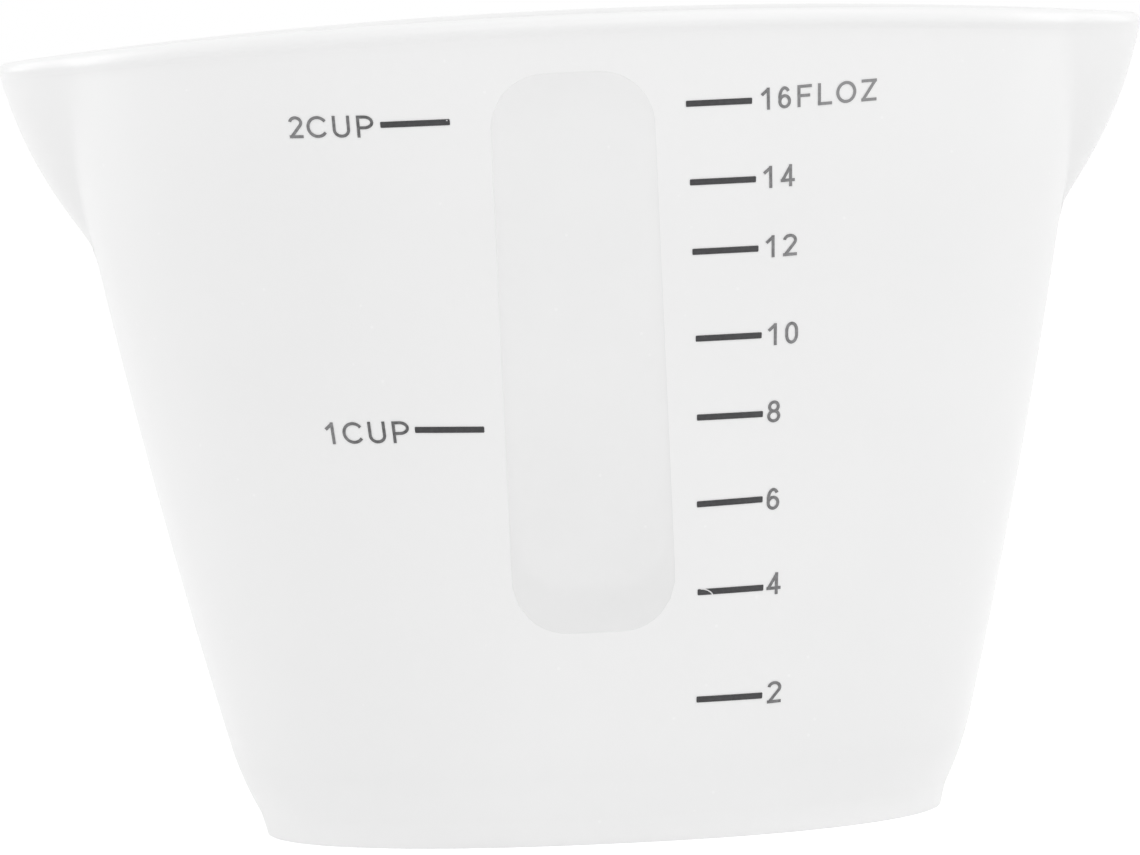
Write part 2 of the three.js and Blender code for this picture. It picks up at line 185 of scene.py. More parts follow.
def oval_point(column, z):
    length, depth = half_length(z), half_depth(z)
    crease = max(spout_half_width(z), SPOUT_ROOT_HALF)
    if column > SPOUT_COLUMNS + END_COLUMNS:
        x = PANEL_HALF * (QUARTER - column) / PANEL_COLUMNS
        return x, depth * oval_partner(x / length)
    if column > SPOUT_COLUMNS:
        start = math.asin((crease / depth) ** (OVAL_POWER / 2))
        end = math.acos((PANEL_HALF / length) ** (OVAL_POWER / 2))
        share = ((column - SPOUT_COLUMNS) / END_COLUMNS) ** CROWDING
        y = depth * math.sin(mix(start, end, share)) ** (2 / OVAL_POWER)
    else:
        y = crease * math.sin(math.pi / 2 * column / SPOUT_COLUMNS)
    return length * oval_partner(y / depth), y


def skin_point(column, z, depth_in):
    """A point of the quarter outline, depth_in below the outer skin."""
    x, y = oval_point(column, z)
    nx, ny = oval_normal(x, y, z)
    crease_x, crease_y = oval_point(SPOUT_COLUMNS, z)
    narrowing = 1 - depth_in * oval_normal(crease_x, crease_y, z)[1] / crease_y
    x, y = x - depth_in * nx, y - depth_in * ny
    return x + spout_reach(z) * spout_share(y, spout_half_width(z) * narrowing), y


print("columns round the jug:", 4 * QUARTER)

# %% [markdown]
# ## The rim
# The rim dips towards the two tips and carries a bead, which keeps the soft edge from curling. Its face
# is a tall round that runs softly back into the wall, so it shows as a light band with a faint shadow
# below. Over the lips of the spouts the bead thins out, so that the liquid leaves cleanly. The section is
# drawn in two strokes: a soft S for the underside, from the wall out to the widest level, and a half
# ellipse from there over the top to the inner skin. A bevel could round the edge too, but it would not
# thin out over the lips.

# %% Height and bead of the rim
RIM_ARCH = 3.099
BEAD_PROUD, LIP_PROUD = 0.5, 0.12
BEAD_HEIGHT, LIP_HEIGHT = 1.6, 1.2
UNDERSIDE_HEIGHT = 1
UNDERSIDE_STEPS, BEAD_STEPS = 6, 16
TIP_REACH = skin_point(0, TIP_HEIGHT, 0)[0]


def rim_height(column):
    share = skin_point(column, TIP_HEIGHT, 0)[0] / TIP_REACH
    return TIP_HEIGHT + RIM_ARCH * (1 - share * share)


def lip_share(column):
    return min(1, spout_share(skin_point(column, TIP_HEIGHT, 0)[1], SPOUT_WIDTH / 2))


def bead_proud(column):
    return mix(BEAD_PROUD, LIP_PROUD, lip_share(column))


def bead_widest(column):
    return rim_height(column) - mix(BEAD_HEIGHT, LIP_HEIGHT, lip_share(column))


def bead_foot(column):
    return bead_widest(column) - UNDERSIDE_HEIGHT


def underside_point(column, step):
    share = step / UNDERSIDE_STEPS
    z = mix(bead_foot(column), bead_widest(column), share)
    out = bead_proud(column) * (1 - math.cos(math.pi * share)) / 2
    return *skin_point(column, z, -out), z


def bead_point(column, step):
    angle = math.pi * step / BEAD_STEPS
    widest = bead_widest(column)
    outer, inner = skin_point(column, widest, -bead_proud(column)), skin_point(column, widest, WALL)
    share = (1 - math.cos(angle)) / 2
    x, y = mix(outer[0], inner[0], share), mix(outer[1], inner[1], share)
    return x, y, mix(widest, rim_height(column), math.sin(angle))


tip_level, middle_level = round(rim_height(0), 2), round(rim_height(QUARTER), 2)
print("rim height, mm, over a tip and in the middle:", tip_level, middle_level)

# %% [markdown]
# ## Rows from the underside over the rim to the floor
# Each row is a closed ring of vertices. The rows start in the middle of the underside, turn round the
# edge of the foot, climb the outer skin, cross the bead and go down inside to the middle of the floor, so
# the cup is one closed surface like the real moulding. A row is kept as a function that gives a point for
# each column.

# %% List the rows
FOOT_EDGE_RADIUS, FLOOR, FLOOR_FILLET = 0.05, 3, 6
FOOT_ROWS, WALL_ROWS, SPOUT_ROWS, ARC_ROWS, FLAT_ROWS = 12, 26, 22, 8, 8
FOOT_TOP = FOOT_HEIGHT + FOOT_BLEND


def flat_row(radius, floor, depth_in, share):
    def point(column):
        x, y = skin_point(column, floor + radius, depth_in + radius)
        return x * share, y * share, floor
    return point


def arc_row(radius, floor, depth_in, share):
    angle = math.pi / 2 * share
    def point(column):
        x, y = skin_point(column, floor + radius, depth_in + radius * (1 - math.sin(angle)))
        return x, y, floor + radius * (1 - math.cos(angle))
    return point


def wall_row(low, high, share, depth_in):
    def point(column):
        z = mix(low, high(column), share)
        return *skin_point(column, z, depth_in), z
    return point


def even_level(z):
    """A height that is the same at every column."""
    def height(_):
        return z
    return height


def wall_rows(bottom, depth_in, top):
    spans = [
        (bottom, even_level(FOOT_TOP), FOOT_ROWS),
        (FOOT_TOP, even_level(SPOUT_ROOT), WALL_ROWS),
        (SPOUT_ROOT, top, SPOUT_ROWS),
    ]
    return [
        wall_row(low, high, step / count, depth_in)
        for low, high, count in spans
        for step in range(count)
    ]


def rim_row(section, step):
    def point(column):
        return section(column, step)
    return point


underside = [flat_row(FOOT_EDGE_RADIUS, 0, 0, (step + 1) / FLAT_ROWS) for step in range(FLAT_ROWS - 1)]
foot_edge = [arc_row(FOOT_EDGE_RADIUS, 0, 0, step / ARC_ROWS) for step in range(ARC_ROWS + 1)]
outer_rows = wall_rows(FOOT_HEIGHT, 0, bead_foot)
bead_rows = [rim_row(underside_point, step) for step in range(UNDERSIDE_STEPS)]
bead_rows += [rim_row(bead_point, step) for step in range(BEAD_STEPS + 1)]
inner_rows = wall_rows(FLOOR + FLOOR_FILLET, WALL, bead_widest)[::-1]
fillet = [arc_row(FLOOR_FILLET, FLOOR, WALL, 1 - step / ARC_ROWS) for step in range(1, ARC_ROWS + 1)]
floor_rows = [flat_row(FLOOR_FILLET, FLOOR, WALL, 1 - step / FLAT_ROWS) for step in range(1, FLAT_ROWS)]
cup_rows = underside + foot_edge + outer_rows + bead_rows + inner_rows + fillet + floor_rows
print("rows:", len(cup_rows))

# %% [markdown]
# ## A place to collect corners and faces
# Bmesh or a plain list of corners and faces both work for a mesh made by formula. Lists are used here,
# because the windows need the numbers of the corners around their opening. Each finished piece is given
# outward normals and smooth shading that stops at sharp edges, rides on the jug's one body and stands for
# its CAD nodes.

# %% Helpers that turn corners and faces into a piece
SHARP_ANGLE = 35


def quads_between(ring_a, ring_b, closed=True):
    count = len(ring_a)
    steps = range(count if closed else count - 1)
    return [(ring_a[i], ring_a[(i + 1) % count], ring_b[(i + 1) % count], ring_b[i]) for i in steps]


def add_ring(corners, points):
    first = len(corners)
    corners.extend(points)
    return list(range(first, first + len(points)))


def make_piece(name, corners, faces, nodes):
    mesh = bpy.data.meshes.new(name)
    mesh.from_pydata([Vector(corner) * MM for corner in corners], [], faces)
    sketch = bmesh.new()
    sketch.from_mesh(mesh)
    bmesh.ops.recalc_face_normals(sketch, faces=sketch.faces)
    open_edges = sum(1 for edge in sketch.edges if not edge.is_manifold)
    sketch.to_mesh(mesh)
    sketch.free()
    mesh.shade_smooth()
    mesh.set_sharp_from_angle(angle=math.radians(SHARP_ANGLE))
    piece = bpy.data.objects.new(name, mesh)
    bpy.context.scene.collection.objects.link(piece)
    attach(piece, "root")
    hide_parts(*nodes)
    print(name, "faces:", len(mesh.polygons), "open edges:", open_edges)
    return piece


print("edges stay sharp from", SHARP_ANGLE, "degrees")

# %% [markdown]
# ## The opening for a window
# The clear window is a tall shape with round corners. Its outline is made of four sides, each a straight
# run with half a corner at either end, so every side of the grid around it meets one side of the window.
# An inset outline keeps the corner centres and changes only the radius, so outlines of different insets
# match point by point.

# %% The outline of a window
WINDOW_HALF, WINDOW_BOTTOM, WINDOW_BELOW_RIM, WINDOW_CORNER = 9.7, 25.6, 6.8, 6.5
WINDOW_TOP = TIP_HEIGHT + RIM_ARCH - WINDOW_BELOW_RIM
CORNER_X = WINDOW_HALF - WINDOW_CORNER
LOW_CORNER, HIGH_CORNER = WINDOW_BOTTOM + WINDOW_CORNER, WINDOW_TOP - WINDOW_CORNER
WINDOW_CORNERS = [
    (-CORNER_X, LOW_CORNER),
    (CORNER_X, LOW_CORNER),
    (CORNER_X, HIGH_CORNER),
    (-CORNER_X, HIGH_CORNER),
]
SIDE_FACING = [-90, 0, 90, 180]


def window_point(side, share, inset):
    """A point on one side of the outline, from half a corner before it to half a corner after it."""
    start, end = WINDOW_CORNERS[side], WINDOW_CORNERS[(side + 1) % 4]
    run = math.dist(start, end)
    half_corner = WINDOW_CORNER * math.pi / 4
    along = share * (run + 2 * half_corner) - half_corner
    turn = clamp(along, -half_corner, 0) + clamp(along - run, 0, half_corner)
    angle = math.radians(SIDE_FACING[side]) + turn / WINDOW_CORNER
    centre = clamp(along / run, 0, 1)
    radius = WINDOW_CORNER - inset
    return (
        mix(start[0], end[0], centre) + radius * math.cos(angle),
        mix(start[1], end[1], centre) + radius * math.sin(angle),
    )


print("window, mm:", 2 * WINDOW_HALF, "wide and", round(WINDOW_TOP - WINDOW_BOTTOM, 1), "high")

# %% [markdown]
# ## Depth of the two skins in the panel
# In the panel a corner is placed by x and z, and the wall gives its depth. The outer skin follows from
# the oval. The inner skin is an offset of it, so the outer point that lands on a given x is found by a
# few repeated guesses.

# %% Depth of the wall at x and z
OFFSET_GUESSES = 4


def outer_depth(x, z):
    return half_depth(z) * oval_partner(abs(x) / half_length(z))


def inner_depth(x, z):
    outer_x = abs(x)
    for _ in range(OFFSET_GUESSES):
        nx, ny = oval_normal(outer_x, outer_depth(outer_x, z), z)
        outer_x = abs(x) + WALL * nx
    return outer_depth(outer_x, z) - WALL * ny


window_middle = (WINDOW_BOTTOM + WINDOW_TOP) / 2
wall_there = outer_depth(0, window_middle) - inner_depth(0, window_middle)
print("wall in the middle of the window, mm:", round(wall_there, 3))

# %% [markdown]
# ## The white body
# The rows and columns give a plain grid. In each panel the grid is left out, and rings of faces run from
# the edge of the panel to the outline of the window instead, on both skins, with the cut face through the
# wall between them. A boolean cut would be shorter to write, but it leaves long thin faces that shade
# badly.

# %% Grid of the cup, without the two panels
PANEL_LOW, PANEL_HIGH = 21.5, 94.6


def signed_columns():
    """The columns once round the jug, each with the signs of its x and y."""
    around = []
    for sx, sy, falling in [(1, 1, False), (-1, 1, True), (-1, -1, False), (1, -1, True)]:
        around += [(QUARTER - step if falling else step, sx, sy) for step in range(QUARTER)]
    return around


AROUND = signed_columns()
body_corners, body_faces, rings = [], [], []
for row in cup_rows:
    quarter_points = [row(column) for column in range(QUARTER + 1)]
    rings.append(add_ring(body_corners, [
        (sx * quarter_points[column][0], sy * quarter_points[column][1], quarter_points[column][2])
        for column, sx, sy in AROUND
    ]))
panel_middles = {"front": 3 * QUARTER, "back": QUARTER}
first_outer = len(underside) + len(foot_edge)
last_inner = first_outer + len(outer_rows) + len(bead_rows) + len(inner_rows) - 1
wall_heights = [row(QUARTER)[2] for row in outer_rows]
panel_steps = [step for step, z in enumerate(wall_heights) if PANEL_LOW < z < PANEL_HIGH]
outer_panel = first_outer + panel_steps[0], first_outer + panel_steps[-1]
inner_panel = last_inner - panel_steps[0], last_inner - panel_steps[-1]


def in_panel(row, step):
    beside = any(-PANEL_COLUMNS <= step - middle < PANEL_COLUMNS for middle in panel_middles.values())
    return beside and any(min(rows) <= row < max(rows) for rows in (outer_panel, inner_panel))


for row in range(len(rings) - 1):
    quads = quads_between(rings[row], rings[row + 1])
    body_faces += [quad for step, quad in enumerate(quads) if not in_panel(row, step)]
under_middle, floor_middle = add_ring(body_corners, [(0, 0, 0), (0, 0, FLOOR)])
for step in range(len(AROUND)):
    after = (step + 1) % len(AROUND)
    body_faces.append((under_middle, rings[0][step], rings[0][after]))
    body_faces.append((floor_middle, rings[-1][step], rings[-1][after]))
print("grid corners:", len(body_corners), "panel rows:", outer_panel, inner_panel)

# %% Loops round the panel and the window
def panel_loop(rows, middle):
    low, high = rows
    left, right = middle - PANEL_COLUMNS, middle + PANEL_COLUMNS
    step = 1 if low < high else -1
    upward = list(range(low, high, step))
    bottom = [rings[low][column] for column in range(left, right)]
    right_side = [rings[row][right] for row in upward]
    top = [rings[high][column] for column in range(right, left, -1)]
    left_side = [rings[row + step][left] for row in reversed(upward)]
    return [bottom, right_side, top, left_side]


def shares_along(sides):
    """For each corner of the loop, its side and its share of the way along that side."""
    starts = [side[0] for side in sides]
    places = []
    for number, side in enumerate(sides):
        corners = [body_corners[index] for index in side + [starts[(number + 1) % 4]]]
        lengths = [math.dist(a, b) for a, b in zip(corners, corners[1:])]
        places += [(number, sum(lengths[:index]) / sum(lengths)) for index in range(len(side))]
    return places


print("corners round a panel:", sum(len(side) for side in panel_loop(outer_panel, panel_middles["front"])))

# %% Rings from the panel to the window, and the cut through the wall
PANEL_RINGS = 5
RING_CROWDING = 1.8


def wall_corner(x, z, depth_share, side):
    """A corner in a panel, on the outer skin at depth_share 0 and on the inner skin at 1."""
    depth = mix(outer_depth(x, z), inner_depth(x, z), depth_share)
    return (-side * x, side * depth, z)


def skin_rings(loop, places, depth_share, side):
    """Rings on one skin from the edge of the panel to the opening for the window."""
    made = [loop]
    flat = [(-side * body_corners[index][0], body_corners[index][2]) for index in loop]
    goals = [window_point(number, share, 0) for number, share in places]
    for ring in range(1, PANEL_RINGS + 1):
        share = 1 - (1 - ring / PANEL_RINGS) ** RING_CROWDING
        points = [(mix(a[0], b[0], share), mix(a[1], b[1], share)) for a, b in zip(flat, goals)]
        made.append(add_ring(body_corners, [wall_corner(x, z, depth_share, side) for x, z in points]))
    return made


loops = {}
for name, middle in panel_middles.items():
    side = -1 if name == "front" else 1
    outer_sides, inner_sides = panel_loop(outer_panel, middle), panel_loop(inner_panel, middle)
    places = shares_along(outer_sides)
    loops[name] = (side, places)
    outside = skin_rings(sum(outer_sides, []), places, 0, side)
    inside = skin_rings(sum(inner_sides, []), places, 1, side)
    for stack in (outside, inside):
        for ring_a, ring_b in zip(stack, stack[1:]):
            body_faces += quads_between(ring_a, ring_b)
    body_faces += quads_between(outside[-1], inside[-1])
jug_body = make_piece("jug_body", body_corners, body_faces, ["jug_body"])

# %% [markdown]
# ## The clear windows
# A window is a strip of clear silicone that is moulded into the opening, flush with the wall, so only the
# change of colour shows where it starts. Its face is a grid whose border is the outline of the window, a
# few thousandths of a millimetre smaller than the opening, and whose inner corners are blended from the
# four sides. One large face would be quicker, but it would stay flat where the wall is curved.

# %% Fill the openings
SEAM = 0.004


def blended_grid(sides):
    """Corners inside four sides, blended from opposite sides less the corners that both pairs share."""
    bottom, right, top, left = sides
    top, left = top[::-1], left[::-1]
    wide, tall = len(bottom) - 1, len(left) - 1
    grid = []
    for j in range(tall + 1):
        v = j / tall
        line = []
        for i in range(wide + 1):
            u = i / wide
            point = []
            for axis in (0, 1):
                across = mix(left[j][axis], right[j][axis], u)
                along = mix(bottom[i][axis], top[i][axis], v)
                low = mix(bottom[0][axis], bottom[-1][axis], u)
                high = mix(top[0][axis], top[-1][axis], u)
                point.append(across + along - mix(low, high, v))
            line.append(tuple(point))
        grid.append(line)
    return grid


def window_sides(places, inset):
    counts = [sum(1 for number, _ in places if number == side) for side in range(4)]
    sides, first = [], 0
    for count in counts:
        indices = [index % len(places) for index in range(first, first + count + 1)]
        sides.append([window_point(*places[index], inset) for index in indices])
        first += count
    return sides


def make_window(name, side, places):
    corners, faces, borders = [], [], []
    grid = blended_grid(window_sides(places, SEAM))
    for depth_share in (0, 1):
        lines = [
            add_ring(corners, [wall_corner(x, z, depth_share, side) for x, z in line])
            for line in grid
        ]
        for line_a, line_b in zip(lines, lines[1:]):
            faces += quads_between(line_a, line_b, closed=False)
        bottom, top = lines[0], lines[-1]
        right, left = [line[-1] for line in lines], [line[0] for line in lines]
        borders.append(bottom[:-1] + right[:-1] + top[:0:-1] + left[:0:-1])
    faces += quads_between(*borders)
    return make_piece(name, corners, faces, [name])


windows = [make_window(name + "_window", *loops[name]) for name in loops]

# %% [markdown]
# ## The printed scale
# The scale is pad-printed: a thin film of dark ink on the front wall. Each mark is a bar and its text.
# The CAD nodes already say where every bar and letter sits, so their boxes are read from the frame. A
# text object would bring a font of its own, so the letters are drawn as strokes of one width, like those
# of a plain drawing stencil. The strokes overlap where they meet, so a flat triangulation joins them into
# one outline first. A hair that lay on the wall during printing leaves a gap in a bar, which the same
# triangulation cuts out. The film is then laid on the curved wall, a few thousandths of a millimetre
# above it.

# %% Paths that strokes follow
ARC_STEP = 9


def arc(cx, cy, rx, ry, start, end):
    steps = math.ceil(abs(end - start) / ARC_STEP)
    angles = [math.radians(mix(start, end, step / steps)) for step in range(steps + 1)]
    return [(cx + rx * math.cos(angle), cy + ry * math.sin(angle)) for angle in angles]


def line(x0, y0, x1, y1):
    return [(x0, y0), (x1, y1)]


def ring(cx, cy, rx, ry):
    return arc(cx, cy, rx, ry, 0, 360)


def tall_ring(cx, low, high, rx, bend):
    over = arc(cx, high - bend, rx, bend, 0, 180)
    under = arc(cx, low + bend, rx, bend, 180, 360)
    return over + under + over[:1]


print("points in a ring:", len(ring(0, 0, 1, 1)))

# %% Strokes of the figures and letters, in shares of their height
LETTER_HEIGHT, STROKE_WIDTH = 2.6, 0.36
HALF_STROKE = STROKE_WIDTH / LETTER_HEIGHT / 2
LETTER_WIDTHS = {
    "0": 0.59, "1": 0.37, "2": 0.64, "4": 0.65, "6": 0.58, "8": 0.6,
    "C": 0.88, "F": 0.66, "L": 0.65, "O": 0.92, "P": 0.77, "U": 0.79, "Z": 0.7,
}


def letter_strokes(letter):
    h, width = HALF_STROKE, LETTER_WIDTHS[letter]
    mid, right, top = width / 2, width - h, 1 - h
    stem, waist, bowl = line(h, 0, h, 1), 0.52, 0.44
    return {
        "0": [tall_ring(mid, h, top, mid - h, 0.33)],
        "1": [line(right, 0, right, 1), line(0, 0.68, right, top)],
        "2": [
            arc(mid, 0.71, mid - h, top - 0.71, 170, -35),
            line(mid + (mid - h) * 0.87, 0.6, h, h / 2),
            line(0, h, width, h),
        ],
        "4": [
            line(0.7 * width, 0, 0.7 * width, 1),
            line(0, 0.29, width, 0.29),
            line(h, 0.27, 0.7 * width, top),
        ],
        "6": [
            arc(mid, 0.5, mid - h, top - 0.5, 40, 180),
            line(h, 0.54, h, 0.3),
            ring(mid, 0.32, mid - h, 0.32 - h),
        ],
        "8": [
            ring(mid, (waist + h) / 2, mid - h, (waist - h) / 2),
            ring(mid, (waist + top) / 2, mid - 1.5 * h, (top - waist) / 2),
        ],
        "C": [arc(0.5, 0.5, top - 0.5, top - 0.5, 36, 324)],
        "F": [stem, line(h, top, width, top), line(h, 0.51, 0.88 * width, 0.51)],
        "L": [stem, line(h, h, width, h)],
        "O": [ring(mid, 0.5, mid - h, top - 0.5)],
        "P": [
            stem,
            line(h, top, mid, top),
            line(h, bowl, mid, bowl),
            arc(mid - h / 2, (top + bowl) / 2, mid - h / 2, (top - bowl) / 2, -90, 90),
        ],
        "U": [
            line(h, 0.32, h, 1),
            arc(mid, 0.36, mid - h, 0.36 - h, 180, 360),
            line(right, 0.32, right, 1),
        ],
        "Z": [line(0, top, width, top), line(h, h, right, top), line(0, h, width, h)],
    }[letter]


print("letters drawn:", "".join(LETTER_WIDTHS))

# %% Join strokes into a flat film
SAME_POINT, JOIN_DISTANCE = 1e-6, 1e-5
ONLY_INSIDE = 1


def stroke_quads(path, half):
    """Quads along a path, half a stroke to either side."""
    closed = math.dist(path[0], path[-1]) < SAME_POINT
    sides = []
    for index, (x, y) in enumerate(path):
        before = path[-2] if closed and index == 0 else path[max(index - 1, 0)]
        after = path[1] if closed and index == len(path) - 1 else path[min(index + 1, len(path) - 1)]
        reach = math.dist(before, after)
        across = (-(after[1] - before[1]) / reach * half, (after[0] - before[0]) / reach * half)
        sides.append(((x + across[0], y + across[1]), (x - across[0], y - across[1])))
    return [(a[0], a[1], b[1], b[0]) for a, b in zip(sides, sides[1:])]


def joined_film(quads, gaps=()):
    """Triangles of the union of overlapping quads without the gaps, with the points that they use."""
    shapes = [*quads, *gaps]
    points = [Vector(point) for shape in shapes for point in shape]
    faces = [tuple(range(4 * index, 4 * index + 4)) for index in range(len(shapes))]
    points, _, triangles, _, _, sources = delaunay_2d_cdt(points, [], faces, ONLY_INSIDE, JOIN_DISTANCE)
    kept = [
        triangle for triangle, source in zip(triangles, sources)
        if source and max(source) < len(quads)
    ]
    used = sorted({index for triangle in kept for index in triangle})
    number = {index: place for place, index in enumerate(used)}
    panels = [[number[index] for index in triangle] for triangle in kept]
    return [points[index] for index in used], panels


def letter_film(letter):
    quads = [quad for path in letter_strokes(letter) for quad in stroke_quads(path, HALF_STROKE)]
    points, triangles = joined_film(quads)
    width = LETTER_WIDTHS[letter]
    return [((p.x - width / 2) * LETTER_HEIGHT, (p.y - 0.5) * LETTER_HEIGHT) for p in points], triangles


print("triangles in an 8:", len(letter_film("8")[1]))

# %% Bars with slightly rounded ends
BAR_THICKNESS, BAR_CORNER = 0.72, 0.12
BAR_STEPS = 40
HALF_HAIR = 0.075
HAIRS = {"4_oz": arc(-3.62, -0.92, 1.65, 1.3, 88, 20), "2_cup": line(3.68, 0.2, 3.88, 0.2)}


def bar_film(length, hair):
    """A bar of quads, crowded towards its ends to follow the corners, without the path of a hair."""
    sides = []
    for step in range(BAR_STEPS + 1):
        x = -length / 2 * math.cos(math.pi * step / BAR_STEPS)
        into_corner = max(0, BAR_CORNER - (length / 2 - abs(x)))
        half = BAR_THICKNESS / 2 - BAR_CORNER + math.sqrt(BAR_CORNER**2 - into_corner**2)
        sides.append(((x, -half), (x, half)))
    quads = [(a[0], b[0], b[1], a[1]) for a, b in zip(sides, sides[1:])]
    gaps = stroke_quads(hair, HALF_HAIR) if hair else ()
    points, triangles = joined_film(quads, gaps)
    return [tuple(point) for point in points], triangles


SAMPLE_LENGTH = 8
print("faces in a bar:", len(bar_film(SAMPLE_LENGTH, None)[1]))

# %% Lay a film on the wall
INK_LIFT, INK_FILM = 0.008, 0.05


def node_middle(node):
    low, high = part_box(node)
    return (low.x + high.x) / 2 / MM, (low.z + high.z) / 2 / MM


def placed(points, middle, tilt):
    """Points tilted, leaned like the wall beside them, and moved until their box has the given middle."""
    cosine, sine = math.cos(math.radians(tilt)), math.sin(math.radians(tilt))
    turned = [(x * cosine - y * sine, middle[1] + x * sine + y * cosine) for x, y in points]
    leaned = [((middle[0] + x) * half_length(z) / half_length(middle[1]), z) for x, z in turned]
    across, up = [x for x, _ in leaned], [z for _, z in leaned]
    shift_x = middle[0] - (min(across) + max(across)) / 2
    shift_z = middle[1] - (min(up) + max(up)) / 2
    return [(x + shift_x, z + shift_z) for x, z in leaned]


def lay_film(corners, faces, film, middle, tilt):
    points, panels = film
    flat = placed(points, middle, tilt)
    levels = [
        add_ring(corners, [(x, -outer_depth(x, z) - lift, z) for x, z in flat])
        for lift in (INK_LIFT, INK_LIFT + INK_FILM)
    ]
    edges = {}
    for panel in panels:
        faces.append([levels[1][index] for index in panel])
        faces.append([levels[0][index] for index in reversed(panel)])
        for a, b in zip(panel, (*panel[1:], panel[0])):
            edges[a, b] = True
    for a, b in [edge for edge in edges if edge[::-1] not in edges]:
        faces.append((levels[1][a], levels[0][a], levels[0][b], levels[1][b]))


print("ink film, mm:", INK_FILM, "thick and", INK_LIFT, "above the wall")

# %% Print the bars and the texts, each with its tilt in degrees
BAR_TILT = {"6_oz": 1.2, "4_oz": 0.7, "1_cup": -1.8}
TEXT_TILT = {
    "16_oz": 2, "14_oz": 2, "12_oz": 2, "10_oz": 2, "8_oz": 1, "6_oz": 1, "4_oz": 2, "2_oz": 2,
    "2_cup": -1.6, "1_cup": -0.5,
}


def bar_length(node, tilt):
    low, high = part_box(node)
    turn = math.radians(tilt)
    return ((high.x - low.x) / MM - BAR_THICKNESS * abs(math.sin(turn))) / math.cos(turn)


bars, texts = [], []
for bar in sorted(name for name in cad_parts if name.startswith("bar_")):
    label = bar.removeprefix("bar_")
    tilt = BAR_TILT.get(label, 0)
    corners, faces = [], []
    film = bar_film(bar_length(bar, tilt), HAIRS.get(label))
    lay_film(corners, faces, film, node_middle(bar), tilt)
    bars.append(make_piece(f"bar_{label}", corners, faces, [bar]))
    figures = sorted(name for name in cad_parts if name.startswith(f"figure_{label}_"))
    corners, faces = [], []
    for figure in figures:
        lay_film(corners, faces, letter_film(figure[-1]), node_middle(figure), TEXT_TILT[label])
    texts.append(make_piece(f"text_{label}", corners, faces, figures))

# %% [markdown]
# ## Finishes
# Silicone is a soft, slightly cloudy rubber with a satin grain from the mould, a soft sheen at low angles
# and a few pale specks. A painted picture could hold them, but it would have to be unwrapped and would
# show seams. Noise in the jug's own space has neither fault. What both silicones share is a node group
# with named sockets, so that each material can set its own amounts. A few helpers come first, because
# nodes take many lines: most make one node and give its output.

# %% Helpers for nodes
def new_node(tree, kind, **settings):
    node = tree.nodes.new(kind)
    for key, value in settings.items():
        setattr(node, key, value)
    return node


def add_sockets(group, in_out, names):
    for name in names:
        kind = "NodeSocketColor" if name == "Color" else "NodeSocketFloat"
        group.interface.new_socket(name, in_out=in_out, socket_type=kind)


def object_place(tree):
    return new_node(tree, "ShaderNodeTexCoord").outputs["Object"]


def part_of(tree, vector, axis):
    parts = new_node(tree, "ShaderNodeSeparateXYZ")
    tree.links.new(vector, parts.inputs["Vector"])
    return parts.outputs[axis]


def noise(tree, vector, scale, detail):
    node = new_node(tree, "ShaderNodeTexNoise")
    node.inputs["Scale"].default_value = scale
    node.inputs["Detail"].default_value = detail
    tree.links.new(vector, node.inputs["Vector"])
    return node.outputs["Fac"]


def ranged(tree, value, start, end, start_to=0, end_to=1):
    node = new_node(tree, "ShaderNodeMapRange")
    node.inputs["From Min"].default_value = start
    node.inputs["From Max"].default_value = end
    node.inputs["To Min"].default_value = start_to
    node.inputs["To Max"].default_value = end_to
    tree.links.new(value, node.inputs["Value"])
    return node.outputs["Result"]


def maths(tree, operation, *values):
    """The result of an operation on sockets and plain numbers."""
    node = new_node(tree, "ShaderNodeMath", operation=operation)
    for socket, value in zip(node.inputs, values):
        if isinstance(value, bpy.types.NodeSocket):
            tree.links.new(value, socket)
        else:
            socket.default_value = value
    return node.outputs["Value"]


print("node helpers ready")

# %% A node group for moulded silicone
CLOUD_SCALE, CLOUD_DETAIL = 45, 4
CLOUD_LOW, CLOUD_HIGH = 0.3, 0.7
GRAIN_SCALE, GRAIN_DETAIL = 5200, 2
SPECK_SCALE, SPECK_EDGE, SPECK_MIDDLE, SPECK_GAIN = 250, 0.06, 0.03, 1.04
ROUGHNESS_SPREAD = 0.05


def silicone_skin_group():
    group = bpy.data.node_groups.new("silicone_skin", "ShaderNodeTree")
    add_sockets(group, "INPUT", ["Color", "Cloud", "Base Roughness"])
    add_sockets(group, "OUTPUT", ["Color", "Roughness", "Height"])
    start, end = new_node(group, "NodeGroupInput"), new_node(group, "NodeGroupOutput")
    place = object_place(group)
    cloud = noise(group, place, CLOUD_SCALE, CLOUD_DETAIL)
    grain = noise(group, place, GRAIN_SCALE, GRAIN_DETAIL)
    speck = new_node(group, "ShaderNodeTexVoronoi")
    speck.inputs["Scale"].default_value = SPECK_SCALE
    group.links.new(place, speck.inputs["Vector"])
    shade = maths(group, "MULTIPLY", ranged(group, cloud, CLOUD_LOW, CLOUD_HIGH), start.outputs["Cloud"])
    gain = ranged(group, speck.outputs["Distance"], SPECK_EDGE, SPECK_MIDDLE, 1, SPECK_GAIN)
    tint = new_node(group, "ShaderNodeVectorMath", operation="SCALE")
    group.links.new(start.outputs["Color"], tint.inputs["Vector"])
    group.links.new(maths(group, "SUBTRACT", gain, shade), tint.inputs["Scale"])
    rough = maths(group, "MULTIPLY_ADD", cloud, ROUGHNESS_SPREAD, start.outputs["Base Roughness"])
    group.links.new(tint.outputs["Vector"], end.inputs["Color"])
    group.links.new(rough, end.inputs["Roughness"])
    group.links.new(grain, end.inputs["Height"])
    return group


SILICONE_SKIN = silicone_skin_group()
skin_outputs = [item.name for item in SILICONE_SKIN.interface.items_tree if item.in_out == "OUTPUT"]
print("group outputs:", skin_outputs)

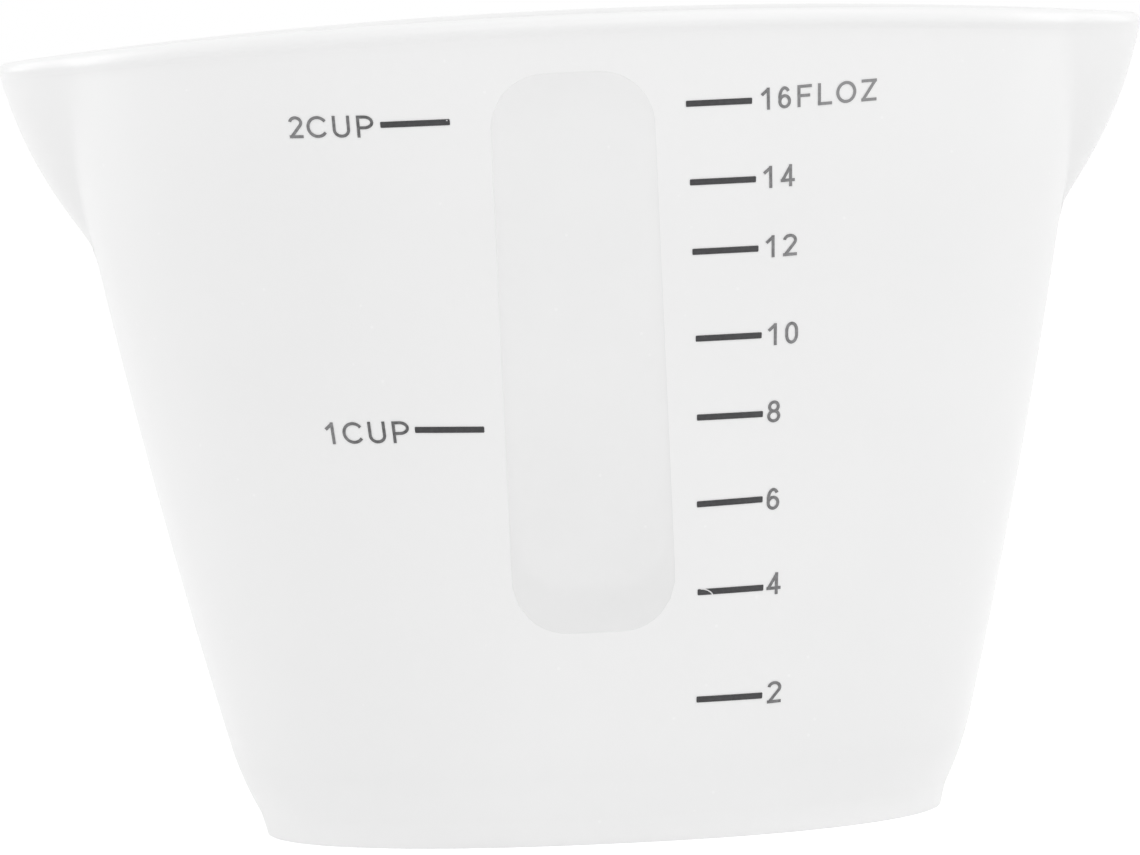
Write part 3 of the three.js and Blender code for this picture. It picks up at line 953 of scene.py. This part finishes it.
# %% A silicone with the shared skin
SILICONE_IOR = 1.41
SHEEN_ROUGHNESS = 0.3


def silicone_material(name, cloud, roughness, grain_depth, sheen):
    material = bpy.data.materials.new(name)
    material.use_nodes = True
    tree = material.node_tree
    shader = tree.nodes["Principled BSDF"]
    skin = new_node(tree, "ShaderNodeGroup", node_tree=SILICONE_SKIN)
    skin.inputs["Cloud"].default_value = cloud
    skin.inputs["Base Roughness"].default_value = roughness
    bump = new_node(tree, "ShaderNodeBump")
    bump.inputs["Distance"].default_value = grain_depth * MM
    tree.links.new(skin.outputs["Color"], shader.inputs["Base Color"])
    tree.links.new(skin.outputs["Roughness"], shader.inputs["Roughness"])
    tree.links.new(skin.outputs["Height"], bump.inputs["Height"])
    tree.links.new(bump.outputs["Normal"], shader.inputs["Normal"])
    shader.inputs["IOR"].default_value = SILICONE_IOR
    shader.inputs["Sheen Weight"].default_value = sheen
    shader.inputs["Sheen Roughness"].default_value = SHEEN_ROUGHNESS
    return material, shader, skin


white_silicone, _, white_skin = silicone_material(
    "white_silicone", cloud=0.012, roughness=0.277, grain_depth=0.006, sheen=0.4
)
clear_silicone, clear_shader, clear_skin = silicone_material(
    "clear_silicone", cloud=0.03, roughness=0.065, grain_depth=0.001, sheen=0.3
)
jug_body.data.materials.append(white_silicone)
for window in windows:
    window.data.materials.append(clear_silicone)
print("silicones:", white_silicone.name, clear_silicone.name)

# %% [markdown]
# ## White and clear
# The two silicones differ in colour. The white one has painted light in its colour: it is whiter at the
# foot, which lifts the shade near the floor, and towards the rim, which brightens the rim, so its colour
# is a ramp over the height. Between them the ramp is the silicone's own white. A new ramp comes with two
# stops of its own, which are removed. The clear one is milky where light enters it and plain glass where
# light leaves it. A strip that was milky on both faces would hide the far window, whose lower end shows
# through the near one as a pale shape.

# %% White over the height, painted lighter at the foot and the rim: shares of the height and levels
WHITE_WITH_PAINTED_LIGHT = ((0.001, 0.905), (0.086, 0.862), (0.75, 0.86), (0.999, 0.885))

white_tree = white_silicone.node_tree
jug_height = (TIP_HEIGHT + RIM_ARCH) * MM
white_rise = ranged(white_tree, part_of(white_tree, object_place(white_tree), "Z"), 0, jug_height)
# The stops at both ends are painted light: whiter at the foot and towards the rim than the silicone is.
white_and_painted_light_ramp = new_node(white_tree, "ShaderNodeValToRGB")
white_and_painted_light_stops = white_and_painted_light_ramp.color_ramp.elements
for share, level in WHITE_WITH_PAINTED_LIGHT:
    white_and_painted_light_stops.new(share).color = (level, level, level, 1)
for unused in (-1, 0):
    white_and_painted_light_stops.remove(white_and_painted_light_stops[unused])
white_tree.links.new(white_rise, white_and_painted_light_ramp.inputs["Fac"])
white_tree.links.new(white_and_painted_light_ramp.outputs["Color"], white_skin.inputs["Color"])
print("stops of white:", len(white_and_painted_light_stops))

# %% A clear way out of the window
CLEAR_COLOR = (0.88, 0.88, 0.88)
CLEAR_SHARE, CLEAR_ROUGHNESS = 0.16, 0.03

clear_skin.inputs["Color"].default_value = (*CLEAR_COLOR, 1)
clear_shader.inputs["Transmission Weight"].default_value = CLEAR_SHARE
clear_tree = clear_silicone.node_tree
way_out = new_node(clear_tree, "ShaderNodeBsdfGlass")
way_out.inputs["Roughness"].default_value = CLEAR_ROUGHNESS
way_out.inputs["IOR"].default_value = SILICONE_IOR
side_hit = new_node(clear_tree, "ShaderNodeNewGeometry")
in_or_out = new_node(clear_tree, "ShaderNodeMixShader")
clear_tree.links.new(side_hit.outputs["Backfacing"], in_or_out.inputs["Fac"])
clear_tree.links.new(clear_shader.outputs["BSDF"], in_or_out.inputs[1])
clear_tree.links.new(way_out.outputs["BSDF"], in_or_out.inputs[2])
clear_tree.links.new(in_or_out.outputs["Shader"], clear_tree.nodes["Material Output"].inputs["Surface"])
print("nodes of the clear silicone:", len(clear_tree.nodes))

# %% [markdown]
# ## Ink
# One even black would look like tape on the wall. The wide bars hold a thick film of ink. In the thin
# strokes of the letters the film is thinner, so the white shows through, and more so further from the
# window, where the wall curves away from the printing pad. The thinness of the film is a mask, made once
# in a node group. Each ink mixes its own two colours by it.

# %% How thin the film is
PAD_MIDDLE, PAD_FLAT, PAD_EDGE = -4 * MM, 20 * MM, 38 * MM
THICK_LEVEL, THIN_LEVEL = -0.4, 0.6
MOTTLE_SCALE, MOTTLE_DETAIL, MOTTLE_AMOUNT = 2200, 3, 1.25


def thin_film_group():
    group = bpy.data.node_groups.new("thin_film", "ShaderNodeTree")
    add_sockets(group, "OUTPUT", ["Thinness"])
    end = new_node(group, "NodeGroupOutput")
    place = object_place(group)
    mottle = noise(group, place, MOTTLE_SCALE, MOTTLE_DETAIL)
    aside = maths(group, "SUBTRACT", part_of(group, place, "X"), PAD_MIDDLE)
    away = maths(group, "ABSOLUTE", aside)
    fade = ranged(group, away, PAD_FLAT, PAD_EDGE, THICK_LEVEL, THIN_LEVEL)
    group.links.new(maths(group, "MULTIPLY_ADD", mottle, MOTTLE_AMOUNT, fade), end.inputs["Thinness"])
    return group


THIN_FILM = thin_film_group()
print("nodes of the thin film:", len(THIN_FILM.nodes))

# %% Inks of the bars and the letters, where thick and where thin
BAR_INK = (0.03, 0.03, 0.032), (0.06, 0.06, 0.063)
LETTER_INK = (0.07, 0.07, 0.072), (0.26, 0.26, 0.265)
INK_ROUGHNESS = 0.55


def ink_material(name, thick_color, thin_color):
    material = bpy.data.materials.new(name)
    material.use_nodes = True
    tree = material.node_tree
    shader = tree.nodes["Principled BSDF"]
    film = new_node(tree, "ShaderNodeGroup", node_tree=THIN_FILM)
    ramp = new_node(tree, "ShaderNodeValToRGB")
    ramp.color_ramp.elements[0].color = (*thick_color, 1)
    ramp.color_ramp.elements[1].color = (*thin_color, 1)
    tree.links.new(film.outputs["Thinness"], ramp.inputs["Fac"])
    tree.links.new(ramp.outputs["Color"], shader.inputs["Base Color"])
    shader.inputs["Roughness"].default_value = INK_ROUGHNESS
    return material


bar_ink = ink_material("bar_ink", *BAR_INK)
letter_ink = ink_material("letter_ink", *LETTER_INK)
for pieces, material in ((bars, bar_ink), (texts, letter_ink)):
    for piece in pieces:
        piece.data.materials.append(material)
print("inks:", bar_ink.name, "on", len(bars), "bars and", letter_ink.name, "on", len(texts), "texts")

# %% [markdown]
# ## Floor and light
# The jug stands on a pale floor in front of white, in a studio whose lengths are in metres. The floor is
# lit like the jug and keeps its shadow. A glow, which only rays from the camera or through something
# clear see in full, lifts the rest of it to white. More light would do so too, but it would also burn out
# the white jug. In reflections the glow is weaker, so that a mirrored floor is about as white as the sky.
# The sky is white for the same rays, and lights the jug at its own, lower level. Four large soft boxes
# add the gentle shading of the wall.

# %% Floor
FLOOR_HALF = 6.0
floor_square = [(-1, -1), (1, -1), (1, 1), (-1, 1)]
floor_mesh = bpy.data.meshes.new("studio_floor")
floor_mesh.from_pydata([(x * FLOOR_HALF, y * FLOOR_HALF, 0) for x, y in floor_square], [], [(0, 1, 2, 3)])
studio_floor = bpy.data.objects.new("studio_floor", floor_mesh)
bpy.context.scene.collection.objects.link(studio_floor)
print("floor:", 2 * FLOOR_HALF, "m across")

# %% Paint and glow of the floor
FLOOR_PAINT = 0.97
FLOOR_LIFT, MIRRORED_LIFT = 0.5, 0.2


def seen_rays(tree, kinds):
    """1 for rays of the given kinds, and 0 for the rest."""
    path = new_node(tree, "ShaderNodeLightPath")
    seen = path.outputs[kinds[0]]
    for kind in kinds[1:]:
        seen = maths(tree, "MAXIMUM", seen, path.outputs[kind])
    return seen


floor_material = bpy.data.materials.new("pale_floor")
floor_material.use_nodes = True
floor_tree = floor_material.node_tree
floor_tree.nodes.remove(floor_tree.nodes["Principled BSDF"])
floor_paint = new_node(floor_tree, "ShaderNodeBsdfDiffuse")
floor_paint.inputs["Color"].default_value = (FLOOR_PAINT, FLOOR_PAINT, FLOOR_PAINT, 1)
floor_glow = new_node(floor_tree, "ShaderNodeEmission")
mirrored_glow = maths(floor_tree, "MULTIPLY", seen_rays(floor_tree, ["Is Glossy Ray"]), MIRRORED_LIFT)
direct_rays = seen_rays(floor_tree, ["Is Camera Ray", "Is Transmission Ray"])
glow_level = maths(floor_tree, "MULTIPLY_ADD", direct_rays, FLOOR_LIFT, mirrored_glow)
floor_tree.links.new(glow_level, floor_glow.inputs["Strength"])
floor_sum = new_node(floor_tree, "ShaderNodeAddShader")
floor_tree.links.new(floor_paint.outputs["BSDF"], floor_sum.inputs[0])
floor_tree.links.new(floor_glow.outputs["Emission"], floor_sum.inputs[1])
floor_tree.links.new(floor_sum.outputs["Shader"], floor_tree.nodes["Material Output"].inputs["Surface"])
floor_mesh.materials.append(floor_material)
print("floor paint:", FLOOR_PAINT, "glow:", FLOOR_LIFT)

# %% Studio sky
SKY_LEVEL = 0.62
WHITE = (1, 1, 1, 1)
world = bpy.data.worlds.new("studio_sky")
bpy.context.scene.world = world
world.use_nodes = True
sky_tree = world.node_tree
sky_lit = sky_tree.nodes["Background"]
sky_lit.inputs["Color"].default_value = WHITE
sky_lit.inputs["Strength"].default_value = SKY_LEVEL
sky_seen = new_node(sky_tree, "ShaderNodeBackground")
sky_seen.inputs["Color"].default_value = WHITE
sky_choice = new_node(sky_tree, "ShaderNodeMixShader")
white_rays = seen_rays(sky_tree, ["Is Camera Ray", "Is Glossy Ray", "Is Transmission Ray"])
sky_tree.links.new(white_rays, sky_choice.inputs["Fac"])
sky_tree.links.new(sky_lit.outputs["Background"], sky_choice.inputs[1])
sky_tree.links.new(sky_seen.outputs["Background"], sky_choice.inputs[2])
sky_tree.links.new(sky_choice.outputs["Shader"], sky_tree.nodes["World Output"].inputs["Surface"])
print("sky level:", SKY_LEVEL)

# %% Soft boxes: place and size in metres, and power in watts
SOFT_BOXES = {
    "front_box": ((0.12, -1.3, 0.95), (1.2, 0.8), 4.5),
    "top_box": ((0.3, -0.3, 1.4), (1.2, 1.2), 5.2),
    "right_box": ((1.25, 0.4, 0.45), (0.7, 1.0), 2.9),
    "left_box": ((-1.25, 0.4, 0.45), (0.7, 1.0), 4.6),
}
for name, (place, size, watts) in SOFT_BOXES.items():
    lamp = bpy.data.lights.new(name, "AREA")
    lamp.shape = "RECTANGLE"
    lamp.size, lamp.size_y = size
    lamp.energy = watts
    box = bpy.data.objects.new(name, lamp)
    box.location = place
    box.rotation_euler = (CAMERA_AIM - Vector(place)).to_track_quat("-Z", "Y").to_euler()
    box.visible_camera = False
    bpy.context.scene.collection.objects.link(box)
print("soft boxes:", len(SOFT_BOXES))

# %% [markdown]
# ## Finish
# The Standard view transform shows colours about as they are written.

# %% Finish
bpy.context.scene.view_settings.view_transform = "Standard"
